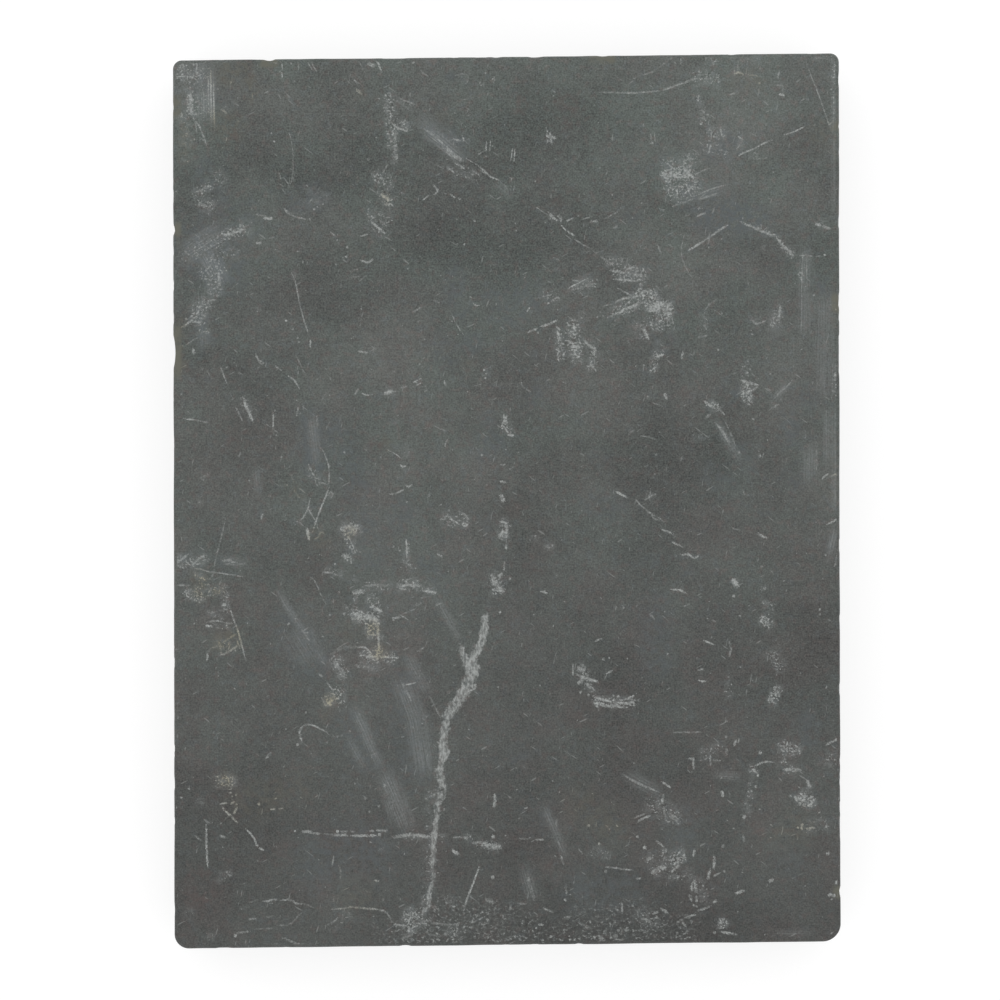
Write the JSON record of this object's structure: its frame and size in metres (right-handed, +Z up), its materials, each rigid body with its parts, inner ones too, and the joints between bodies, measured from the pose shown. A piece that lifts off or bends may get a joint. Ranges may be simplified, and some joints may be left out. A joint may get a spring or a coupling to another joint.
{
  "type": "leather tooling slab",
  "caption": "Flat dressed stone slab with eased, lightly chipped edges on stick-on rubber feet: a hard, heavy surface to stamp, carve and set hardware on.",
  "frame": {"origin": "on the surface that the feet stand on, under the middle of the slab", "axes": "+X across the slab to the right, +Y along its length away from the user, +Z up out of the working face"},
  "size_m": [0.2292, 0.3072, 0.0368],
  "materials": {
    "stone": "honed, scuffed and scratched",
    "foot_rubber": "matt moulded",
    "adhesive_foam": "matt foam"
  },
  "bodies": {
    "root": {"stone_slab": "stone", "foot_front_left": "foot_rubber", "foot_front_right": "foot_rubber", "foot_back_right": "foot_rubber", "foot_back_left": "foot_rubber", "adhesive_front_left": "adhesive_foam", "adhesive_front_right": "adhesive_foam", "adhesive_back_right": "adhesive_foam", "adhesive_back_left": "adhesive_foam"}
  },
  "joints": []
}
